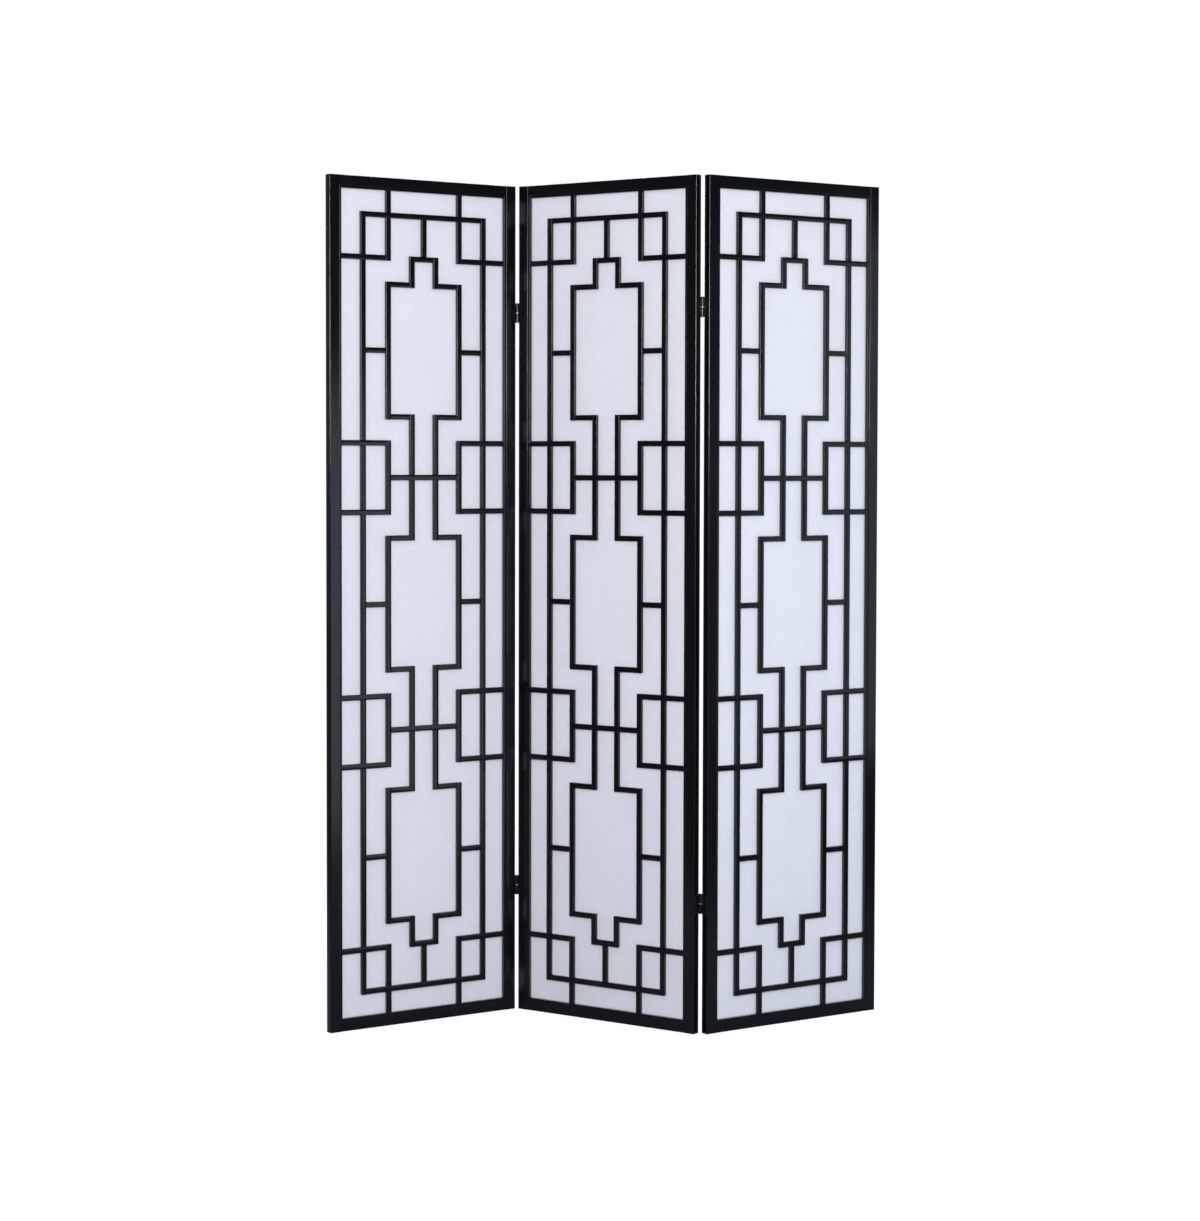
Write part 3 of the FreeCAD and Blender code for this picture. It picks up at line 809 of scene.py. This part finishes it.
@dataclass
class Fretwork:
    """The lattice strips and clamping beads of every panel face, in metres from the panel's middle."""

    tree: StripTree
    lacquer: bpy.types.Material
    panel_middle: float = 0.892
    bar_width: float = 0.0113
    bar_depth: float = 0.008
    bar_front: float = 0.0082
    edge_round: float = 0.0009
    bead_width: float = 0.0045
    bead_round: float = 0.0006
    frame_open_x: float = 0.200
    frame_open_z: float = 0.870
    border_x: float = 0.1444
    medallion_x: float = 0.08515
    neck_x: float = 0.0284
    border_z: float = 0.8144
    cap_z: float = 0.7252
    top_shoulder_z: float = 0.6705
    tie_z: float = 0.532
    low_shoulder_z: float = 0.3935
    bracket_top_z: float = 0.3385
    crossbar_z: float = 0.266
    bracket_low_z: float = 0.1935
    middle_shoulder_z: float = 0.1385

    @property
    def half_bar(self) -> float:
        """Half the width of a lattice strip."""
        return self.bar_width / 2

    @property
    def open_x(self) -> float:
        """Half the width between the beads."""
        return self.frame_open_x - self.bead_width

    @property
    def open_z(self) -> float:
        """Half the height between the beads."""
        return self.frame_open_z - self.bead_width

    def border(self) -> list[Strip]:
        """Inner border, corner squares and the short stubs that hold the caps.

        Returns:
            The strips, with what crosses them.
        """
        half = self.half_bar
        levels = both(self.cap_z) + both(self.bracket_top_z) + both(self.bracket_low_z)
        top, side = self.border_z + half, self.border_x - half
        strips = [Strip(Run.UPRIGHT, x, -top, top, levels) for x in both(self.border_x)]
        for end in both(1.0):
            strips.append(Strip(Run.LEVEL, end * self.border_z, -side, side))
            stub = end * (self.cap_z + half), end * (self.border_z - half)
            strips.append(Strip(Run.UPRIGHT, 0.0, *stub))
            post = end * (self.cap_z - half), end * self.open_z
            for hand in both(1.0):
                inner = hand * (self.medallion_x + half)
                strips.append(Strip(Run.LEVEL, end * self.cap_z, inner, hand * self.open_x))
                strips.append(Strip(Run.UPRIGHT, hand * self.medallion_x, *post, (end * self.border_z,)))
        return strips

    def medallion(self) -> list[Strip]:
        """Chain of stepped medallions: caps, stems, shoulders, sides and the necks between them.

        Returns:
            The strips, with what crosses them.
        """
        half = self.half_bar
        middle_top, cap_side = self.middle_shoulder_z + half, self.neck_x - half
        strips = [Strip(Run.UPRIGHT, x, -middle_top, middle_top) for x in both(self.medallion_x)]
        for end in both(1.0):
            strips.append(Strip(Run.LEVEL, end * self.cap_z, -cap_side, cap_side))
            stem = end * (self.top_shoulder_z - half), end * (self.cap_z + half)
            flank = end * (self.low_shoulder_z - half), end * (self.top_shoulder_z + half)
            neck = end * (self.middle_shoulder_z - half), end * (self.low_shoulder_z + half)
            for hand in both(1.0):
                strips.append(Strip(Run.UPRIGHT, hand * self.neck_x, *stem))
                strips.append(Strip(Run.UPRIGHT, hand * self.medallion_x, *flank))
                strips.append(Strip(Run.UPRIGHT, hand * self.neck_x, *neck, (end * self.crossbar_z,)))
                shoulder = hand * (self.neck_x + half), hand * (self.medallion_x - half)
                for level in (self.top_shoulder_z, self.low_shoulder_z, self.middle_shoulder_z):
                    strips.append(Strip(Run.LEVEL, end * level, *shoulder))
        return strips

    def bracket(self) -> list[Strip]:
        """Side brackets beside the necks, the cross bars between them and the ties to the border.

        Returns:
            The strips.
        """
        half = self.half_bar
        bar_side, outer = self.medallion_x - half, self.medallion_x + half
        strips = []
        for hand in both(1.0):
            tie = hand * outer, hand * (self.border_x - half)
            strips.extend(Strip(Run.LEVEL, level, *tie) for level in (0.0, *both(self.tie_z)))
        for end in both(1.0):
            strips.append(Strip(Run.LEVEL, end * self.crossbar_z, -bar_side, bar_side))
            post = end * (self.bracket_low_z - half), end * (self.bracket_top_z + half)
            for hand in both(1.0):
                strips.append(Strip(Run.UPRIGHT, hand * self.medallion_x, *post))
                for level in (self.bracket_top_z, self.bracket_low_z):
                    strips.append(Strip(Run.LEVEL, end * level, hand * outer, hand * self.open_x))
        return strips

    def beads(self) -> list[Strip]:
        """Slim strips round the opening, which clamp the paper's edges.

        Returns:
            The strips.
        """
        x, z = (side - self.bead_width / 2 for side in (self.frame_open_x, self.frame_open_z))
        upright = [Strip(Run.UPRIGHT, line, -self.frame_open_z, self.frame_open_z) for line in both(x)]
        level = [Strip(Run.LEVEL, line, -self.open_x, self.open_x) for line in both(z)]
        return upright + level

    def strips(self, group: Group) -> list[Strip]:
        """The strips of one group.

        Args:
            group: the set of strips.

        Returns:
            Its strips.
        """
        makers = {
            Group.BORDER: self.border,
            Group.MEDALLION: self.medallion,
            Group.BRACKET: self.bracket,
            Group.BEADS: self.beads,
        }
        return makers[group]()

    def points(self, strips: Iterable[Strip]) -> bpy.types.Mesh:
        """One vertex in the middle of each length of strip, with its span and lean.

        Args:
            strips: the strips of a group.

        Returns:
            A mesh of loose vertices in the panel's own coordinates.
        """
        places, spans, leans = [], [], []
        depth = -(self.bar_front - self.bar_depth / 2)
        for strip in strips:
            for low, high in strip.lengths(self.half_bar):
                middle, upright = (low + high) / 2, strip.run is Run.UPRIGHT
                x, z = (strip.line, middle) if upright else (middle, strip.line)
                places.append((x, depth, z + self.panel_middle))
                spans.append(high - low)
                leans.append(strip.run.value)
        mesh = bpy.data.meshes.new("strip_points")
        mesh.from_pydata(places, [], [])
        for name, values in (("span", spans), ("lean", leans)):
            mesh.attributes.new(name, "FLOAT", "POINT").data.foreach_set("value", values)
        return mesh

    def build(self, panel: Panel, face: Face, group: Group, seed: int) -> bpy.types.Object:
        """Makes one group of strips on one face of a panel.

        Args:
            panel: the panel that carries the strips.
            face: the face that they are on.
            group: the set of strips.
            seed: the seed of the grain's shifts.

        Returns:
            The piece, riding on the panel in place of its CAD node.
        """
        bead = group is Group.BEADS
        values = {
            "Strip width": self.bead_width if bead else self.bar_width,
            "Strip depth": self.bar_depth,
            "Edge round": self.bead_round if bead else self.edge_round,
            "Panel place": panel.origin,
            "Panel turn": panel.spin(face),
            "Seed": seed,
            "Finish": self.lacquer,
        }
        name = f"{panel.side}_{face.label}_{group.label}"
        piece = self.tree.plain_mesh(name, self.points(self.strips(group)), values)
        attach(piece, panel.body)
        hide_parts(f"{panel.body}_{face.label}_{group.value}")
        LOG.info("made %s with %d faces", name, len(piece.data.polygons))
        return piece


# Paper


@dataclass
class PaperSheet:
    """One sheet of rice paper, held flat under the strips and a little slack between them."""

    material: bpy.types.Material
    fretwork: Fretwork
    width: float = 0.400
    length: float = 1.740
    thickness: float = 0.00025
    mesh_step: float = 0.008
    slack: float = 0.0005
    held_margin: float = 0.007
    free_margin: float = 0.030
    # Each slow wave of the slack: its rate across and up the sheet, and its share of the phase.
    waves: tuple[Point, ...] = ((31.0, 9.0, 1.0), (-14.0, 23.0, 1.7))
    phase_step: float = 2.1
    edges: tuple[str, ...] = ("left_stile", "right_stile", "top_rail", "bottom_rail")

    def _freedom(self, x: np.ndarray, z: np.ndarray) -> np.ndarray:
        """How free the paper is: 0 under a strip or bead, and 1 in the middle of an open cell.

        Args:
            x: places across the sheet from its middle.
            z: places up the sheet from its middle.

        Returns:
            A share from 0 to 1 for each place.
        """
        gap = np.minimum(self.fretwork.open_x - np.abs(x), self.fretwork.open_z - np.abs(z))
        for group in (Group.BORDER, Group.MEDALLION, Group.BRACKET):
            for strip in self.fretwork.strips(group):
                across, along = (x, z) if strip.run is Run.UPRIGHT else (z, x)
                low, high = sorted((strip.start, strip.end))
                past = np.maximum(np.maximum(low - along, along - high), 0.0)
                gap = np.minimum(gap, np.hypot(across - strip.line, past))
        share = np.clip((gap - self.held_margin) / (self.free_margin - self.held_margin), 0.0, 1.0)
        return share * share * (3 - 2 * share)

    def _mesh(self, name: str, panel: Panel, phase: float) -> bpy.types.Mesh:
        """The sheet as a grid where the panel stands, with a flat map of its own.

        Args:
            name: the mesh's name.
            panel: the panel that holds the sheet.
            phase: where the slow waves and the paper's pattern start.

        Returns:
            The mesh, with the paper's finish.
        """
        columns, rows = (round(size / self.mesh_step) + 1 for size in (self.width, self.length))
        x, z = np.meshgrid(
            np.linspace(-self.width / 2, self.width / 2, columns),
            np.linspace(-self.length / 2, self.length / 2, rows),
        )
        waves = sum(np.sin(across * x + up * z + lag * phase) for across, up, lag in self.waves)
        depth = self.slack / len(self.waves) * waves * self._freedom(x, z)
        place = panel.place() @ Matrix.Translation((0.0, 0.0, self.fretwork.panel_middle))
        corners = [place @ Vector(corner) for corner in zip(x.flat, depth.flat, z.flat)]
        quads = [
            (at, at + 1, at + columns + 1, at + columns)
            for row in range(rows - 1)
            for at in range(row * columns, row * columns + columns - 1)
        ]
        mesh = bpy.data.meshes.new(name)
        mesh.from_pydata(corners, [], quads)
        flat_map = mesh.uv_layers.new(name="flat")
        flat = np.column_stack((x.ravel() + phase, z.ravel()))
        order = np.empty(len(mesh.loops), dtype=np.int32)
        mesh.loops.foreach_get("vertex_index", order)
        flat_map.data.foreach_set("uv", flat[order].astype(np.float32).ravel())
        mesh.polygons.foreach_set("use_smooth", [True] * len(mesh.polygons))
        mesh.materials.append(self.material)
        return mesh

    def build(self, panel: Panel, number: int) -> bpy.types.Object:
        """Makes the sheet of one panel.

        Args:
            panel: the panel that holds the sheet.
            number: the sheet's number, which sets where its waves start, so that no two are alike.

        Returns:
            The sheet, riding on the panel in place of its CAD node.
        """
        name = f"{panel.side}_rice_paper"
        piece = bpy.data.objects.new(name, self._mesh(name, panel, self.phase_step * number))
        bpy.context.scene.collection.objects.link(piece)
        solid = piece.modifiers.new("paper_thickness", "SOLIDIFY")
        solid.thickness = self.thickness
        solid.offset = 0.0
        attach(piece, panel.body)
        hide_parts(f"{panel.body}_paper")
        LOG.info("made %s of %d by %d mm", name, self.width * MM_PER_METRE, self.length * MM_PER_METRE)
        return piece


# Frame and hinges


@dataclass
class FrameJoinery:
    """Stiles, rails and hidden dowels of one panel, dressed where the CAD model has them."""

    panel: Panel
    lacquer: Lacquer
    wood: BareWood

    def dress(self) -> None:
        """Gives each frame piece its finish, with the grain along it."""
        side = self.panel.side
        upright = self.lacquer.material(f"{side}_stile_lacquer", Grain.UPRIGHT, self.panel)
        level = self.lacquer.material(f"{side}_rail_lacquer", Grain.LEVEL, self.panel)
        for piece, finish in (
            ("left_stile", upright),
            ("right_stile", upright),
            ("top_rail", level),
            ("bottom_rail", level),
            ("rail_dowels", self.wood.material(f"{side}_dowel_wood", self.panel)),
        ):
            dress(self.panel.node(piece), finish)


@dataclass
class HingeSet:
    """Flags, screws, pins and washers of the four hinges, dressed where the CAD model has them."""

    paint: bpy.types.Material
    steel: bpy.types.Material

    def dress(self) -> None:
        """Gives each hinge piece its finish."""
        for name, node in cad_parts.items():
            if name.endswith(("_flag", "hinge_screws")):
                dress(node, self.paint)
            elif name.endswith(("hinge_pins", "hinge_washers")):
                dress(node, self.steel)


# Studio


@dataclass(frozen=True)
class SoftLamp:
    """A large soft area lamp that points at the screen."""

    name: str
    place: Point
    size: Span
    watts: float
    colour: Colour = WHITE
    aim: Point = (0.0, 0.0, 1.0)

    def build(self) -> None:
        """Hangs the lamp and points it."""
        lamp = bpy.data.lights.new(self.name, "AREA")
        lamp.shape = "RECTANGLE"
        lamp.size, lamp.size_y = self.size
        lamp.energy = self.watts
        lamp.color = self.colour
        holder = bpy.data.objects.new(self.name, lamp)
        holder.location = self.place
        way = Vector(self.aim) - Vector(self.place)
        holder.rotation_euler = way.to_track_quat("-Z", "Y").to_euler()
        bpy.context.scene.collection.objects.link(holder)


@dataclass
class Studio:
    """White floor and surroundings, soft lamps and the camera of the photograph."""

    floor_half: float = 30.0
    floor_bounce: float = 0.18
    floor_tint: Colour = (0.88, 1.0, 1.22)
    floor_glow: float = 0.90
    # Distances from the screen's middle over which the floor turns from shadowed to plain white.
    shadow_span: Span = (1.1, 2.4)
    ambient: float = 0.42
    room_gloss: float = 0.07
    # Share of a direction that points backwards, from where gloss shows the room to where it shows white.
    gloss_span: Span = (0.45, 0.85)
    lamps: tuple[SoftLamp, ...] = (
        SoftLamp("key_lamp", (-0.05, -4.9, 1.55), (0.8, 0.5), 95.0),
        SoftLamp("upper_lamp", (-0.05, -4.9, 2.15), (0.8, 0.7), 62.0),
        SoftLamp("low_side_lamp", (1.75, -1.46, 0.72), (0.8, 1.4), 4.2, COOL_LIGHT),
        SoftLamp("high_side_lamp", (1.82, -0.28, 1.1), (0.7, 1.4), 2.2, COOL_LIGHT),
        SoftLamp("back_lamp", (-0.6, 4.2, 2.4), (2.0, 1.6), 140.0),
    )
    camera_place: Point = (0.0026, -5.3375, 1.1968)
    camera_lens: float = 74.24
    camera_down: float = math.radians(2.0465)
    camera_yaw: float = 0.0034
    camera_roll: float = 0.0021
    camera_shift: float = -0.05
    camera_reach: float = 100.0

    def build(self) -> None:
        """Makes the floor, the surroundings, the lamps and the camera."""
        self._floor()
        self._surroundings()
        for lamp in self.lamps:
            lamp.build()
        self._camera()

    def _floor(self) -> None:
        """Wide floor that the screen stands on."""
        half = self.floor_half
        corners = [(-half, -half, 0.0), (half, -half, 0.0), (half, half, 0.0), (-half, half, 0.0)]
        mesh = bpy.data.meshes.new("studio_floor")
        mesh.from_pydata(corners, [], [(0, 1, 2, 3)])
        mesh.materials.append(self._floor_white())
        floor = bpy.data.objects.new("studio_floor", mesh)
        bpy.context.scene.collection.objects.link(floor)

    def _floor_white(self) -> bpy.types.Material:
        """White that shows the screen's soft shadow and turns plain further out.

        Returns:
            The finished material.
        """
        material, graph = new_material("studio_floor_white")
        ground = graph.coordinates()
        way = graph.node("ShaderNodeVectorMath", {"operation": "NORMALIZE"}, {0: ground})
        mirrored = self._mirrored(graph, way)
        reach = graph.node("ShaderNodeVectorMath", {"operation": "LENGTH"}, {0: ground}, "Value")
        far = graph.step(reach, self.shadow_span)
        tint = tuple(self.floor_bounce * channel for channel in self.floor_tint)
        matt = graph.node("ShaderNodeBsdfDiffuse", None, {"Color": (*tint, 1.0)})
        seen = self.floor_glow * graph.seen_white(0.0, mirrored)
        glow = graph.node("ShaderNodeEmission", None, {"Strength": seen})
        near_floor = graph.node("ShaderNodeAddShader", None, {0: matt, 1: glow})
        strength = graph.seen_white(self.ambient, mirrored)
        far_floor = graph.node("ShaderNodeEmission", None, {"Strength": strength})
        surface = graph.node("ShaderNodeMixShader", None, {0: far, 1: near_floor, 2: far_floor})
        return close_material(material, surface)

    def _mirrored(self, graph: Graph, way: Wire) -> Wire:
        """How bright the surroundings look in gloss: white behind the screen, a dimmer room in front.

        Args:
            graph: the graph of the floor or the world.
            way: the direction from the screen.

        Returns:
            The strength for glossy rays.
        """
        depth = graph.node("ShaderNodeSeparateXYZ", None, {"Vector": way}, "Y")
        return self.room_gloss + (1.0 - self.room_gloss) * graph.step(depth, self.gloss_span)

    def _surroundings(self) -> None:
        """White to look at and a plain soft level as light."""
        world = bpy.data.worlds.new("studio_white")
        world.use_nodes = True
        world.node_tree.nodes.clear()
        graph = Graph(world.node_tree)
        mirrored = self._mirrored(graph, graph.coordinates("Generated"))
        strength = graph.seen_white(self.ambient, mirrored)
        sky = graph.node("ShaderNodeBackground", None, {"Color": (*WHITE, 1.0), "Strength": strength})
        graph.node("ShaderNodeOutputWorld", None, {"Surface": sky})
        bpy.context.scene.world = world

    def _camera(self) -> None:
        """Camera at the photograph's viewing angle."""
        lens = bpy.data.cameras.new("photo_camera")
        lens.lens = self.camera_lens
        lens.shift_y = self.camera_shift
        lens.clip_end = self.camera_reach
        camera = bpy.data.objects.new("photo_camera", lens)
        turn = (
            Matrix.Rotation(self.camera_yaw, 4, "Z")
            @ Matrix.Rotation(math.pi / 2 - self.camera_down, 4, "X")
            @ Matrix.Rotation(self.camera_roll, 4, "Z")
        )
        camera.matrix_world = Matrix.Translation(self.camera_place) @ turn
        bpy.context.scene.collection.objects.link(camera)
        bpy.context.scene.camera = camera
        bpy.context.scene.view_settings.view_transform = "Standard"


def main() -> None:
    """Builds the screen's dressed pieces in order."""
    logging.basicConfig(level=logging.INFO, format="%(message)s")
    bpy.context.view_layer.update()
    lacquer, wood = Lacquer(), BareWood()
    fretwork = Fretwork(StripTree(), lacquer.material("strip_lacquer", Grain.STRIP))
    for number, panel in enumerate(PANELS):
        FrameJoinery(panel, lacquer, wood).dress()
        # Each panel's paper finish carries that panel's painted light.
        paper = RicePaper(brightness=panel.paper_painted_light).material(f"{panel.side}_rice_paper_white")
        PaperSheet(paper, fretwork).build(panel, number)
        for face in Face:
            for group in Group:
                fretwork.build(panel, face, group, seed=number)
    HingeSet(PaintedMetal().material("hinge_paint"), BrightSteel().material("bright_steel")).dress()
    Studio().build()


if __name__ == "__main__":
    main()
